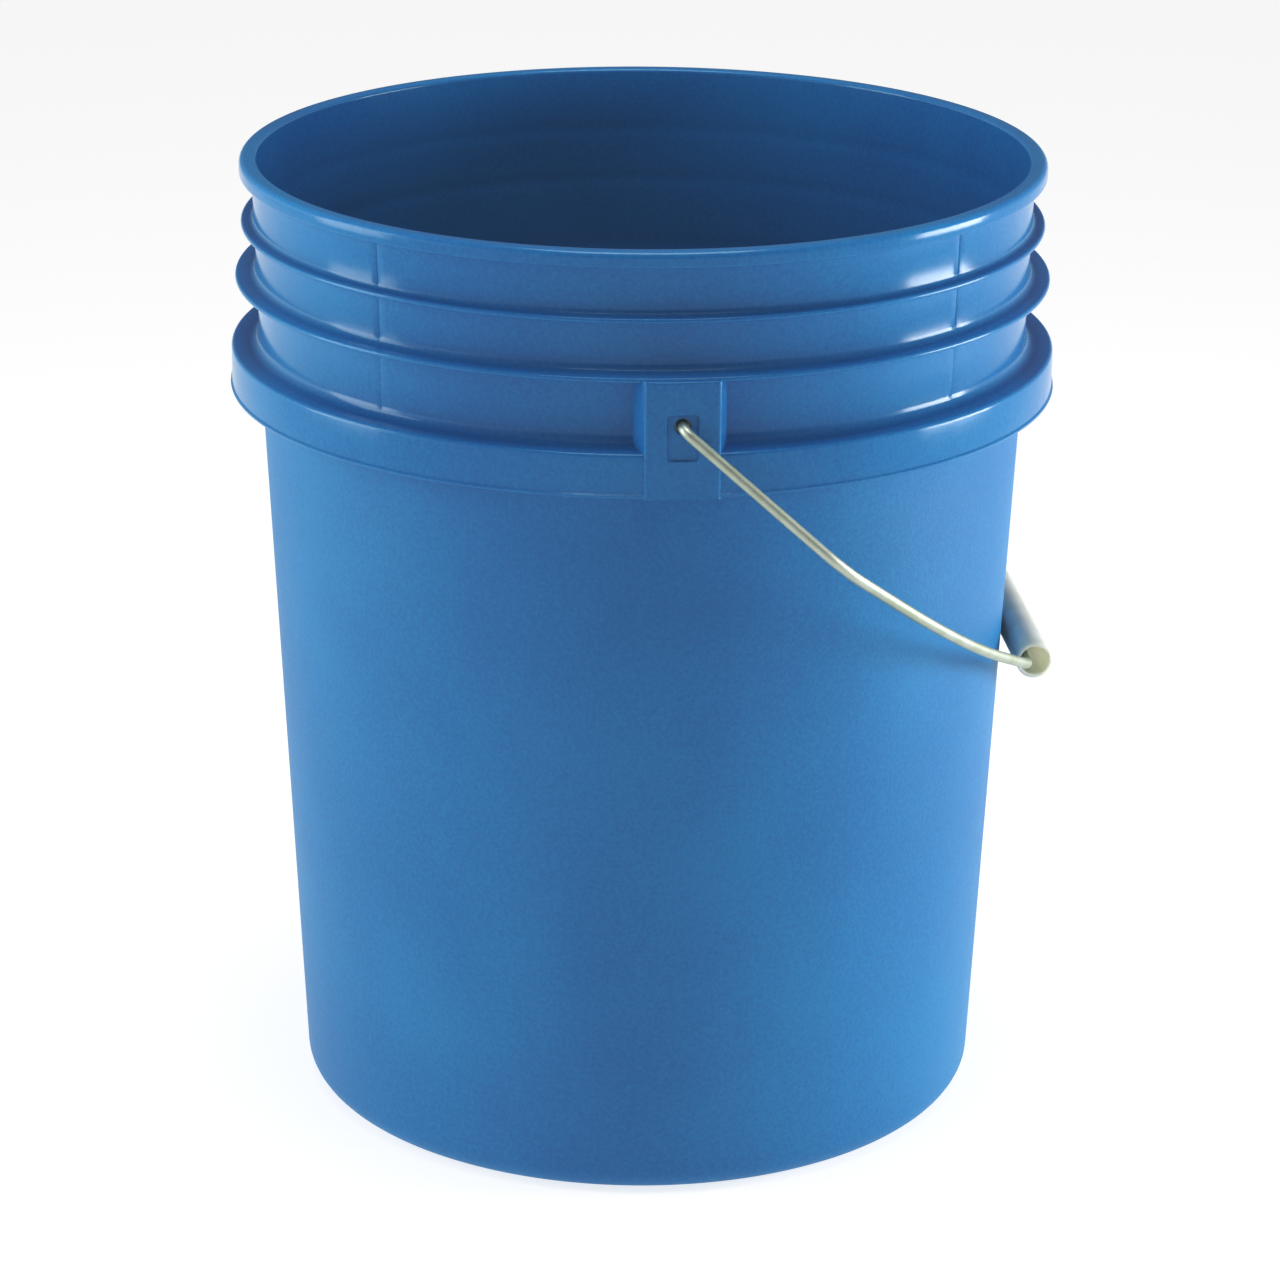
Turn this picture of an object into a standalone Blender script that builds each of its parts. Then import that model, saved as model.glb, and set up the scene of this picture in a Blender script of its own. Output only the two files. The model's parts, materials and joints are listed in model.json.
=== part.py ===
"""A 19 litre moulded plastic wash bucket with a steel wire bail and a plastic grip.

Metres, +Z up. The origin is the centre of the base on the floor. The two ears are on the Y axis,
and the bail hangs down on the +X side, with its grip against the wall.
"""

import math

import bmesh
import bpy

# Pail: overall sizes
HEIGHT = 0.368              # floor to the top of the rim
NECK_RADIUS = 0.1466        # outside of the wall under the rim
NECK_DRAFT = 0.0022         # how much narrower the wall is at the foot of the skirt
BASE_RADIUS = 0.1311        # outside of the wall, carried down to the floor
WALL = 0.0020               # thickness of the wall

# Base
BASE_CORNER = 0.0100        # outer rounding between wall and base
FOOT_RING_WIDTH = 0.0100    # flat ring that the pail stands on
PANEL_RAISE = 0.0020        # how far the middle of the base stands off the floor
PANEL_SLOPE = 0.0030        # width of the slope up to that panel
FLOOR_THICKNESS = 0.0026

# Rim bead
RIM_OUT = 0.0046            # how far the bead stands out from the wall
RIM_HEIGHT = 0.0057
RIM_TOP_ROUND = 0.0022
RIM_FOOT_ROUND = 0.0008
RIM_LIP_ROUND = 0.0014      # rounding of the mouth's inner edge

# Two thin ribs and the hanging skirt, measured down from the top of the rim
FLANGE_THICKNESS = 0.0020
UPPER_RIB_DROP = 0.0235
UPPER_RIB_OUT = 0.0048
UPPER_RIB_FILLET = 0.0020
LOWER_RIB_DROP = 0.0440
LOWER_RIB_OUT = 0.0079
LOWER_RIB_FILLET = 0.0030
SKIRT_DROP = 0.0708
SKIRT_OUT = 0.0106          # at its top edge
SKIRT_FLARE = 0.0006        # how much further out its foot is
SKIRT_FILLET = 0.0040
SKIRT_HEIGHT = 0.0161
SKIRT_WALL = 0.0020
SKIRT_EDGE_ROUND = 0.0015
SKIRT_FOOT_ROUND = 0.0006

# Webs that stiffen the skirt from inside
WEB_COUNT = 24              # places round the pail; those next to an ear are left out
WEB_THICKNESS = 0.0016
WEB_RISE = 0.0025           # gap from the skirt's foot up to a web's lower edge

# Ears
EAR_WIDTH = 0.0270          # across its face
EAR_DRAFT = 17              # degrees; how much its sides spread towards the wall
EAR_PROUD = 0.0008          # how far an ear's face stands out past the skirt's top edge
EAR_CORNER = 0.0012
EAR_WALL = 0.0030
EAR_LAP = 0.0005            # how far an ear reaches below the skirt
EAR_RISE = 0.0014           # how far its top stands above the underside of the lower rib
POCKET_CORNER = 0.0012
POCKET_BACK = 0.0007        # material left on the pail's wall behind an ear's pocket
POCKET_ROOF = 0.0030        # thickness between a pocket and the underside of the lower rib
PIVOT_BELOW_RIB = 0.0150    # bail axis, down from the underside of the lower rib
INSET_WIDTH = 0.0113
INSET_ABOVE = 0.0044        # top of the shallow inset, above the bail axis
INSET_BELOW = 0.0125        # bottom of the inset, below the bail axis
INSET_DEPTH = 0.0010

# Bail wire
WIRE_DIAMETER = 0.0040
HOLE_CLEARANCE = 0.00075    # round the wire, on the radius
HEAD_CATCH = 0.0006         # how far the wire's head overlaps the hole, on the radius
HEAD_THICKNESS = 0.0018
HEAD_GAP = 0.0008           # end play between a head and the inside of the ear's face
HEAD_OVERLAP = 0.0002       # a head reaches this far past the end of the wire, so that they join
LEG_GAP = 0.0023            # between the wire and the face of the ear
EAR_BEND = 0.0042           # centreline radius of the bend at the ear
LEG_LENGTH = 0.0760         # from the axis to the shoulder bend
LEG_SPREAD = 0.0060         # how far the legs spread by the shoulder bend
LEG_BEND = 0.0300
REACH_PAST_EAR = 0.0363     # bail axis to the wire in the grip, more than the ear's radius
SWEEP_BACK = 0.0490         # corner of the long sweep, back from the wire in the grip
SWEEP_IN = 0.0394           # and in from the start of the legs
SWEEP_BEND = 0.2500
GRIP_BEND = 0.0100
MOUTH_TO_BEND = 0.0038      # from the grip's mouth out to the corner of the wire's bend

# Grip
GRIP_LENGTH = 0.0960
GRIP_CLEARANCE = 0.0036     # the bore's radius, more than the wire's
GRIP_WALL = 0.0014
GRIP_EDGE = 0.0005
SEAT_GAP = 0.0003           # between the wire and the side of the bore that it rests on
REST_GAP = 0.0003           # between the hanging grip and the wall

# Steps of round shapes
PAIL_STEPS = 64
GRIP_STEPS = 32
HOLE_STEPS = 24
BEND_STEP = 14              # degrees of bend to one straight piece of the wire
SMOOTH_ANGLE = 35           # degrees; sharper edges stay sharp

# Sizes that follow from the ones above
SKIRT_TOP = HEIGHT - SKIRT_DROP
SKIRT_FOOT = SKIRT_TOP - SKIRT_HEIGHT
RIM_FOOT = HEIGHT - RIM_HEIGHT
RIB_UNDERSIDE = HEIGHT - LOWER_RIB_DROP - FLANGE_THICKNESS
PIVOT_HEIGHT = RIB_UNDERSIDE - PIVOT_BELOW_RIB
SHOULDER_RADIUS = NECK_RADIUS - NECK_DRAFT
TAPER = (SHOULDER_RADIUS - BASE_RADIUS) / SKIRT_FOOT
WIRE_RADIUS = WIRE_DIAMETER / 2
HOLE_RADIUS = WIRE_RADIUS + HOLE_CLEARANCE
GRIP_RADIUS = WIRE_RADIUS + GRIP_CLEARANCE + GRIP_WALL
WALL_LEAN = math.atan(TAPER)


def wall_radius(height):
    """Outside radius of the pail's wall."""
    if height <= SKIRT_FOOT:
        return BASE_RADIUS + TAPER * height
    share = (height - SKIRT_FOOT) / (RIM_FOOT - SKIRT_FOOT)
    return SHOULDER_RADIUS + NECK_DRAFT * min(share, 1.0)


SKIRT_RADIUS = wall_radius(SKIRT_TOP) + SKIRT_OUT
EAR_RADIUS = SKIRT_RADIUS + EAR_PROUD
LEG_START = EAR_RADIUS + LEG_GAP + WIRE_RADIUS
GRIP_REACH = EAR_RADIUS + REACH_PAST_EAR


def rest_angle():
    """How far below level the bail hangs when the wire holds its grip against the tapering wall."""
    stand_off = WIRE_RADIUS + SEAT_GAP + GRIP_WALL + REST_GAP
    foot = (BASE_RADIUS + TAPER * PIVOT_HEIGHT) * math.cos(WALL_LEAN)
    return WALL_LEAN + math.acos((foot + stand_off) / GRIP_REACH)


def grip_centre():
    """The grip's axis seen from the bail's: the wire lies on the side of the bore next to the wall."""
    seat = GRIP_CLEARANCE - SEAT_GAP
    outward = rest_angle() - WALL_LEAN
    return (GRIP_REACH + seat * math.cos(outward), seat * math.sin(outward))


# Scene and helpers

def clear_scene():
    for obj in list(bpy.data.objects):
        bpy.data.objects.remove(obj, do_unlink=True)


def new_collection(name):
    collection = bpy.data.collections.new(name)
    bpy.context.scene.collection.children.link(collection)
    return collection


def material(name, colour, roughness, metallic=0.0):
    made = bpy.data.materials.new(name)
    made.use_nodes = True
    shader = made.node_tree.nodes["Principled BSDF"]
    shader.inputs["Base Color"].default_value = (*colour, 1.0)
    shader.inputs["Roughness"].default_value = roughness
    shader.inputs["Metallic"].default_value = metallic
    return made


def add_object(name, data, collection):
    obj = bpy.data.objects.new(name, data)
    collection.objects.link(obj)
    return obj


def add_cutter(name, mesh, collection):
    obj = add_object(name, mesh, collection)
    obj.hide_render = True
    obj.display_type = "WIRE"
    return obj


def smooth(mesh):
    mesh.shade_smooth()
    mesh.set_sharp_from_angle(angle=math.radians(SMOOTH_ANGLE))


def arc(centre, radius, start, end, steps):
    """Points from one angle to the other, in degrees, both ends included."""
    points = []
    for index in range(steps + 1):
        angle = math.radians(start + (end - start) * index / steps)
        points.append((centre[0] + radius * math.cos(angle), centre[1] + radius * math.sin(angle)))
    return points


def turned_mesh(name, profile):
    """An open line of (radius, height) points, ready for a Screw modifier."""
    mesh = bpy.data.meshes.new(name)
    edges = [(index, index + 1) for index in range(len(profile) - 1)]
    mesh.from_pydata([(radius, 0.0, height) for radius, height in profile], edges, [])
    return mesh


def add_screw(obj, steps, axis="Z"):
    screw = obj.modifiers.new("Turn", "SCREW")
    screw.axis = axis
    screw.steps = steps
    screw.render_steps = steps
    screw.use_merge_vertices = True
    screw.merge_threshold = 0.00001
    screw.use_smooth_shade = True
    return screw


def add_boolean(obj, operation, operand):
    boolean = obj.modifiers.new(operand.name, "BOOLEAN")
    boolean.operation = operation
    boolean.object = operand
    return boolean


def prism(shape, outline, low, high):
    """Adds an outline in the XY plane, raised from low to high."""
    floor = [shape.verts.new((x, y, low)) for x, y in outline]
    face = shape.faces.new(floor)
    raised = bmesh.ops.extrude_face_region(shape, geom=[face])["geom"]
    top = [item for item in raised if isinstance(item, bmesh.types.BMVert)]
    bmesh.ops.translate(shape, verts=top, vec=(0.0, 0.0, high - low))


def finished_mesh(name, shape):
    bmesh.ops.recalc_face_normals(shape, faces=shape.faces)
    mesh = bpy.data.meshes.new(name)
    shape.to_mesh(mesh)
    shape.free()
    return mesh


# Pail

def base_corner(inset):
    """The rounding between base and wall, from the bottom outwards, moved in by the inset."""
    centre = BASE_RADIUS + TAPER * BASE_CORNER - BASE_CORNER / math.cos(WALL_LEAN)
    return arc((centre, BASE_CORNER), BASE_CORNER - inset, -90, -math.degrees(WALL_LEAN), 4)


def flange(drop, out, fillet):
    """Down the outside over a thin rib: concave fillet, flat top, rounded edge, underside."""
    top = HEIGHT - drop
    wall = wall_radius(top)
    edge = FLANGE_THICKNESS / 2
    points = arc((wall + fillet, top + fillet), fillet, 180, 270, 3)
    points += arc((wall + out - edge, top - edge), edge, 90, -90, 4)
    points.append((wall_radius(top - FLANGE_THICKNESS), top - FLANGE_THICKNESS))
    return points


def skirt():
    """Down the outside over the skirt, round its foot and up inside it to the wall."""
    wall = wall_radius(SKIRT_TOP)
    edge = SKIRT_EDGE_ROUND
    foot = SKIRT_FOOT_ROUND
    foot_radius = SKIRT_RADIUS + SKIRT_FLARE
    foot_inside = foot_radius - SKIRT_WALL
    roof = SKIRT_TOP - FLANGE_THICKNESS
    points = arc((wall + SKIRT_FILLET, SKIRT_TOP + SKIRT_FILLET), SKIRT_FILLET, 180, 270, 3)
    points += arc((SKIRT_RADIUS - edge, SKIRT_TOP - edge), edge, 90, 0, 2)
    points += arc((foot_radius - foot, SKIRT_FOOT + foot), foot, 0, -90, 1)
    points += arc((foot_inside + foot, SKIRT_FOOT + foot), foot, -90, -180, 1)
    points += [(SKIRT_RADIUS - SKIRT_WALL, roof), (wall_radius(roof), roof)]
    return points


def pail_profile():
    """From the middle of the floor up the inside, over the rim and down the outside."""
    outer_corner = base_corner(0.0)
    ring_outer = outer_corner[0][0]
    ring_inner = ring_outer - FOOT_RING_WIDTH
    panel = ring_inner - PANEL_SLOPE
    inner_floor = PANEL_RAISE + FLOOR_THICKNESS

    points = [(0.0, inner_floor), (panel, inner_floor), (ring_inner, FLOOR_THICKNESS)]
    points += base_corner(FLOOR_THICKNESS)
    points.append((wall_radius(SKIRT_FOOT) - WALL, SKIRT_FOOT))

    mouth = NECK_RADIUS - WALL
    rim = NECK_RADIUS + RIM_OUT
    points += arc((mouth + RIM_LIP_ROUND, HEIGHT - RIM_LIP_ROUND), RIM_LIP_ROUND, 180, 90, 2)
    points += arc((rim - RIM_TOP_ROUND, HEIGHT - RIM_TOP_ROUND), RIM_TOP_ROUND, 90, 0, 3)
    points += arc((rim - RIM_FOOT_ROUND, RIM_FOOT + RIM_FOOT_ROUND), RIM_FOOT_ROUND, 0, -90, 1)
    points.append((NECK_RADIUS, RIM_FOOT))

    points += flange(UPPER_RIB_DROP, UPPER_RIB_OUT, UPPER_RIB_FILLET)
    points += flange(LOWER_RIB_DROP, LOWER_RIB_OUT, LOWER_RIB_FILLET)
    points += skirt()
    points.append((wall_radius(SKIRT_FOOT), SKIRT_FOOT))
    points += reversed(outer_corner)
    points += [(ring_inner, 0.0), (panel, PANEL_RAISE), (0.0, PANEL_RAISE)]
    return points


def ear_outline(radius, half_width, corner, back, side):
    """Plan of an ear: face and back on circles round the pail, rounded corners, spreading sides."""
    inner = half_width - corner
    corner_depth = math.sqrt((radius - corner) ** 2 - inner ** 2)
    turn = math.degrees(math.asin(inner / (radius - corner)))
    left = arc((-inner, corner_depth), corner, 180 - EAR_DRAFT, 90 + turn, 3)
    face = arc((0.0, 0.0), radius, 90 + turn, 90 - turn, 6)[1:-1]
    right = arc((inner, corner_depth), corner, 90 - turn, EAR_DRAFT, 3)
    end, depth = right[-1]
    root = end + (depth - back) * math.tan(math.radians(EAR_DRAFT))
    reach = math.degrees(math.asin(root / back))
    rear = arc((0.0, 0.0), back, 90 - reach, 90 + reach, 6)
    return [(x, side * y) for x, y in left + face + right + rear]


def ear_blocks():
    shape = bmesh.new()
    back = (wall_radius(SKIRT_FOOT) + wall_radius(RIB_UNDERSIDE) - WALL) / 2
    for side in (-1, 1):
        outline = ear_outline(EAR_RADIUS, EAR_WIDTH / 2, EAR_CORNER, back, side)
        prism(shape, outline, SKIRT_FOOT - EAR_LAP, RIB_UNDERSIDE + EAR_RISE)
    return finished_mesh("ear_blocks", shape)


def ear_pockets():
    shape = bmesh.new()
    roof = RIB_UNDERSIDE - POCKET_ROOF
    back = wall_radius(roof) + POCKET_BACK
    for side in (-1, 1):
        half_width = EAR_WIDTH / 2 - EAR_WALL
        outline = ear_outline(EAR_RADIUS - EAR_WALL, half_width, POCKET_CORNER, back, side)
        prism(shape, outline, SKIRT_FOOT - 2 * EAR_LAP, roof)
    return finished_mesh("ear_pockets", shape)


def ear_insets():
    shape = bmesh.new()
    half = INSET_WIDTH / 2
    for side in (-1, 1):
        near = side * (EAR_RADIUS - INSET_DEPTH)
        far = side * (EAR_RADIUS + INSET_DEPTH)
        outline = [(-half, near), (half, near), (half, far), (-half, far)]
        prism(shape, outline, PIVOT_HEIGHT - INSET_BELOW, PIVOT_HEIGHT + INSET_ABOVE)
    return finished_mesh("ear_insets", shape)


def ear_holes():
    shape = bmesh.new()
    depth = 2 * EAR_WALL
    for side in (-1, 1):
        made = bmesh.ops.create_cone(
            shape,
            cap_ends=True,
            segments=HOLE_STEPS,
            radius1=HOLE_RADIUS,
            radius2=HOLE_RADIUS,
            depth=depth,
        )
        turn_to_y(shape, made["verts"])
        middle = side * (EAR_RADIUS - EAR_WALL / 2)
        bmesh.ops.translate(shape, verts=made["verts"], vec=(0.0, middle, PIVOT_HEIGHT))
    return finished_mesh("ear_holes", shape)


def turn_to_y(shape, verts):
    """Lays a shape that stands on Z along Y."""
    for vert in verts:
        x, y, z = vert.co
        vert.co = (x, z, -y)


def skirt_webs():
    """Radial plates between the wall and the skirt, under the skirt's roof."""
    shape = bmesh.new()
    step = 360 / WEB_COUNT
    inner = wall_radius(SKIRT_FOOT) - WALL / 2
    outer = SKIRT_RADIUS - SKIRT_WALL / 2
    low = SKIRT_FOOT + WEB_RISE
    high = SKIRT_TOP - FLANGE_THICKNESS / 2
    for index in range(WEB_COUNT):
        angle = (index + 0.5) * step
        from_ear = abs((angle % 180) - 90)
        if from_ear < step:
            continue
        place = math.radians(angle)
        along = (math.cos(place), math.sin(place))
        across = (-along[1] * WEB_THICKNESS / 2, along[0] * WEB_THICKNESS / 2)
        outline = [
            (radius * along[0] + side * across[0], radius * along[1] + side * across[1])
            for radius, side in ((inner, -1), (outer, -1), (outer, 1), (inner, 1))
        ]
        prism(shape, outline, low, high)
    return finished_mesh("skirt_webs", shape)


def make_pail(parts, cutters):
    pail = add_object("pail", turned_mesh("pail", pail_profile()), parts)
    add_screw(pail, PAIL_STEPS)
    webs = add_cutter("skirt_webs", skirt_webs(), cutters)
    blocks = add_cutter("ear_blocks", ear_blocks(), cutters)
    pockets = add_cutter("ear_pockets", ear_pockets(), cutters)
    insets = add_cutter("ear_insets", ear_insets(), cutters)
    holes = add_cutter("ear_holes", ear_holes(), cutters)
    add_boolean(pail, "UNION", webs)
    add_boolean(pail, "UNION", blocks)
    add_boolean(pail, "DIFFERENCE", pockets)
    add_boolean(pail, "DIFFERENCE", insets)
    add_boolean(pail, "DIFFERENCE", holes)
    pail.data.materials.append(material("blue polyethylene", (0.028, 0.125, 0.34), 0.42))
    return pail


# Bail wire, drawn flat: reach along X from the pivot axis, width along Y

def rounded_line(corners):
    """A line through (point, bend radius) corners, with an arc at each inner corner."""
    points = [corners[0][0]]
    for index in range(1, len(corners) - 1):
        before, (corner, radius), after = corners[index - 1][0], corners[index], corners[index + 1][0]
        into = math.atan2(corner[1] - before[1], corner[0] - before[0])
        out = math.atan2(after[1] - corner[1], after[0] - corner[0])
        turn = (out - into + math.pi) % (2 * math.pi) - math.pi
        side = math.copysign(1.0, turn)
        tangent = radius * math.tan(abs(turn) / 2)
        start = (corner[0] - tangent * math.cos(into), corner[1] - tangent * math.sin(into))
        centre = (start[0] - side * radius * math.sin(into), start[1] + side * radius * math.cos(into))
        first = math.degrees(into) - side * 90
        steps = max(3, round(abs(turn) / math.radians(BEND_STEP)))
        points += arc(centre, radius, first, first + math.degrees(turn), steps)
    points.append(corners[-1][0])
    return points


def wire_end():
    """How far from the middle the wire's end lies, inside the ear."""
    return EAR_RADIUS - EAR_WALL - HEAD_GAP - HEAD_THICKNESS


def wire_line():
    bend = GRIP_LENGTH / 2 + MOUTH_TO_BEND
    shoulder = LEG_START + LEG_SPREAD
    sweep = (GRIP_REACH - SWEEP_BACK, LEG_START - SWEEP_IN)
    half = [
        ((0.0, wire_end()), 0.0),
        ((0.0, LEG_START), EAR_BEND),
        ((LEG_LENGTH, shoulder), LEG_BEND),
        (sweep, SWEEP_BEND),
        ((GRIP_REACH, bend), GRIP_BEND),
    ]
    other = [((x, -y), radius) for (x, y), radius in reversed(half)]
    return rounded_line(half + other)


def wire_curve(line):
    curve = bpy.data.curves.new("wire_line", "CURVE")
    curve.dimensions = "3D"
    curve.bevel_depth = WIRE_RADIUS
    curve.bevel_resolution = 2
    curve.use_fill_caps = True
    spline = curve.splines.new("POLY")
    spline.points.add(len(line) - 1)
    for point, (x, y) in zip(spline.points, line):
        point.co = (x, y, 0.0, 1.0)
    return curve


def curve_to_mesh(obj, name):
    """A closed mesh of a curve, so that a Boolean can join to it."""
    graph = bpy.context.evaluated_depsgraph_get()
    mesh = bpy.data.meshes.new_from_object(obj.evaluated_get(graph))
    mesh.name = name
    shape = bmesh.new()
    shape.from_mesh(mesh)
    bmesh.ops.remove_doubles(shape, verts=shape.verts, dist=0.000001)
    bmesh.ops.recalc_face_normals(shape, faces=shape.faces)
    shape.to_mesh(mesh)
    shape.free()
    bpy.data.objects.remove(obj, do_unlink=True)
    return mesh


def wire_heads():
    """The flattened ends that keep the wire in the ears."""
    shape = bmesh.new()
    radius = HOLE_RADIUS + HEAD_CATCH
    for side in (-1, 1):
        made = bmesh.ops.create_cone(
            shape,
            cap_ends=True,
            segments=HOLE_STEPS,
            radius1=radius,
            radius2=radius,
            depth=HEAD_THICKNESS,
        )
        turn_to_y(shape, made["verts"])
        middle = side * (wire_end() + HEAD_THICKNESS / 2 - HEAD_OVERLAP)
        bmesh.ops.translate(shape, verts=made["verts"], vec=(0.0, middle, 0.0))
    return finished_mesh("wire_heads", shape)


def make_bail(parts, cutters, pivot):
    line = add_object("wire_line", wire_curve(wire_line()), cutters)
    bpy.context.view_layer.update()
    wire = add_object("bail_wire", curve_to_mesh(line, "bail_wire"), parts)
    wire.parent = pivot
    heads = add_cutter("wire_heads", wire_heads(), cutters)
    heads.parent = pivot
    add_boolean(wire, "UNION", heads)
    smooth(wire.data)
    wire.data.materials.clear()
    wire.data.materials.append(material("zinc-plated wire", (0.55, 0.56, 0.46), 0.38, 1.0))
    return wire


# Grip

def grip_profile():
    """A tube with rounded edges, from the bore over the upper end and down the outside."""
    half = GRIP_LENGTH / 2
    bore = GRIP_RADIUS - GRIP_WALL
    edge = GRIP_EDGE
    points = arc((bore + edge, half - edge), edge, 180, 90, 2)
    points += arc((GRIP_RADIUS - edge, half - edge), edge, 90, 0, 2)
    points += arc((GRIP_RADIUS - edge, edge - half), edge, 0, -90, 2)
    points += arc((bore + edge, edge - half), edge, -90, -180, 2)
    points.append(points[0])
    return points


def make_grip(parts, pivot):
    grip = add_object("grip", turned_mesh("grip", grip_profile()), parts)
    grip.parent = pivot
    along, above = grip_centre()
    grip.location = (along, 0.0, above)
    grip.rotation_euler = (math.radians(90), 0.0, 0.0)
    add_screw(grip, GRIP_STEPS)
    weld = grip.modifiers.new("Weld", "WELD")
    weld.merge_threshold = 0.00001
    grip.data.materials.append(material("natural plastic", (0.62, 0.63, 0.56), 0.45))
    return grip


def main():
    clear_scene()
    parts = new_collection("wash bucket")
    cutters = new_collection("cutters")
    make_pail(parts, cutters)
    pivot = add_object("bail_pivot", None, parts)
    pivot.location = (0.0, 0.0, PIVOT_HEIGHT)
    pivot.rotation_euler = (0.0, rest_angle(), 0.0)
    make_bail(parts, cutters, pivot)
    make_grip(parts, pivot)
    bpy.context.view_layer.update()
    print("rest angle below level, degrees:", round(math.degrees(rest_angle()), 3))


main()
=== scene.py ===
# %% [markdown]
# # A moulded wash bucket
#
# This lesson dresses a plastic wash bucket: one moulded shell, one bent steel wire and one plastic
# tube for the hand. The working model is already made and it fixes where everything is and how it
# moves, so we load it first and take every place from it.

# %% Load the working model
import json
import math

import bmesh
import bpy
from mathutils import Matrix, Vector


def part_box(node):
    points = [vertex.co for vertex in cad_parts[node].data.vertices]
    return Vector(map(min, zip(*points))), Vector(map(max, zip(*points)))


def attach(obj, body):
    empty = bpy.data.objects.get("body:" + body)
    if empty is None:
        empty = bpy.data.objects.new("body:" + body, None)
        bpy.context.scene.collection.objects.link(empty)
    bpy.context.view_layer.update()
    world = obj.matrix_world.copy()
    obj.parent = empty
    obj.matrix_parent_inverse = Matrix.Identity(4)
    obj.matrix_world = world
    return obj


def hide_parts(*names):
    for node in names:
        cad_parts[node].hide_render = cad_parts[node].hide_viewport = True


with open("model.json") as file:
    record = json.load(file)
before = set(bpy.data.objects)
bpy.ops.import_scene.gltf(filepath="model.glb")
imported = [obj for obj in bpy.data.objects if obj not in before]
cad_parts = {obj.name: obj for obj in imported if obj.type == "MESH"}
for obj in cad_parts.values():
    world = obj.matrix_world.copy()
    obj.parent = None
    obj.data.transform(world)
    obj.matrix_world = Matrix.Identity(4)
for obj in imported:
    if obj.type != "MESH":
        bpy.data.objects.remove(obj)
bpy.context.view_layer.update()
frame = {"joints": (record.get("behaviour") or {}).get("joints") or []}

# %% [markdown]
# The script's units are metres. A bucket is drawn as a set of levels and radii, so we read the few
# that the working model knows, its height, its hinge axis and the axis of its grip, and write down
# the rest as named sizes next to the piece that uses them.

# %% Places that the working model knows
joints = {joint["name"]: joint for joint in frame["joints"]}
pivot = Vector(joints["bail_swing"]["pos_m"])
grip_centre = Vector(joints["grip_spin"]["pos_m"])
grip_low, grip_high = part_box("grip")
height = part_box("pail")[1].z
print("height", round(height, 4), "hinge axis at", round(pivot.z, 4))
print("grip axis at", [round(value, 4) for value in grip_centre])

# %% [markdown]
# ## The camera
#
# A bucket shows best from a little above the rim, through a long lens, so that its sides stay nearly
# straight. We could aim a camera with a Track To constraint. Here its matrix is built from three
# directions instead, because that also gives it the slight tilt of a camera held by hand, without
# any constraint left in the file.

# %% Camera
CAMERA_AZIMUTH = math.radians(-5.30)
CAMERA_DISTANCE = 1.6172
CAMERA_HEIGHT = 0.7490
CAMERA_PITCH = 0.3418
CAMERA_ROLL = 0.0071
LENS = 124.0


def make_camera():
    away = Vector((math.sin(CAMERA_AZIMUTH), -math.cos(CAMERA_AZIMUTH), 0.0))
    right = Vector((math.cos(CAMERA_AZIMUTH), math.sin(CAMERA_AZIMUTH), 0.0))
    back = away * math.cos(CAMERA_PITCH) + Vector((0.0, 0.0, math.sin(CAMERA_PITCH)))
    up = back.cross(right)
    tilted_right = right * math.cos(CAMERA_ROLL) + up * math.sin(CAMERA_ROLL)
    tilted_up = up * math.cos(CAMERA_ROLL) - right * math.sin(CAMERA_ROLL)
    data = bpy.data.cameras.new("camera")
    data.lens = LENS
    data.sensor_width = 36.0
    data.clip_end = 50.0
    camera = bpy.data.objects.new("camera", data)
    bpy.context.scene.collection.objects.link(camera)
    matrix = Matrix((tilted_right, tilted_up, back)).transposed().to_4x4()
    matrix.translation = away * CAMERA_DISTANCE + Vector((0.0, 0.0, CAMERA_HEIGHT))
    camera.matrix_world = matrix
    bpy.context.scene.camera = camera
    return camera


camera = make_camera()
print("camera at", [round(value, 3) for value in camera.location])

# %% [markdown]
# ## The pail's outline
#
# Molten polyethylene is pressed into a steel mould, so every edge is a small arc and every wall leans
# a little to let the part out. The whole shell is one line turned round an axis. A Screw modifier
# would turn it, but a later cell sinks a fine seam where the mould's quarters meet, and that needs
# columns placed one by one, so the line is kept as plain points.
#
# First the helper: an arc as a list of points, which every rounding below is made of.

# %% Arcs for outlines
def arc(centre, radius, start, end, steps):
    """Points from one angle to the other, in degrees, both ends included."""
    points = []
    for index in range(steps + 1):
        angle = math.radians(start + (end - start) * index / steps)
        points.append((centre[0] + radius * math.cos(angle), centre[1] + radius * math.sin(angle)))
    return points


# %% [markdown]
# The wall has two tapers: the body closes in towards the base so that empty buckets nest, and the
# neck above the skirt is almost upright. One function gives the outside radius at any level, and
# every rib, ear and web below asks it where the wall is.

# %% Levels and radii
BASE_RADIUS = 0.1311
SHOULDER_RADIUS = 0.1444
NECK_RADIUS = 0.1466
RIM_OUT = 0.0046
RIM_HEIGHT = 0.0057
UPPER_RIB_DROP = 0.0235
LOWER_RIB_DROP = 0.0440
SKIRT_DROP = 0.0708
SKIRT_HEIGHT = 0.0161
SKIRT_OUT = 0.0106
EAR_PROUD = 0.0008

rim_foot = height - RIM_HEIGHT
upper_rib_top = height - UPPER_RIB_DROP
lower_rib_top = height - LOWER_RIB_DROP
skirt_top = height - SKIRT_DROP
skirt_foot = skirt_top - SKIRT_HEIGHT
taper = (SHOULDER_RADIUS - BASE_RADIUS) / skirt_foot


def wall_radius(level):
    """Outside radius of the wall at a level."""
    if level <= skirt_foot:
        return BASE_RADIUS + taper * level
    share = min((level - skirt_foot) / (rim_foot - skirt_foot), 1.0)
    return SHOULDER_RADIUS + (NECK_RADIUS - SHOULDER_RADIUS) * share


skirt_radius = wall_radius(skirt_top) + SKIRT_OUT
ear_radius = skirt_radius + EAR_PROUD
print("rim across", round(2 * (NECK_RADIUS + RIM_OUT), 4), "skirt across", round(2 * skirt_radius, 4))

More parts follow.
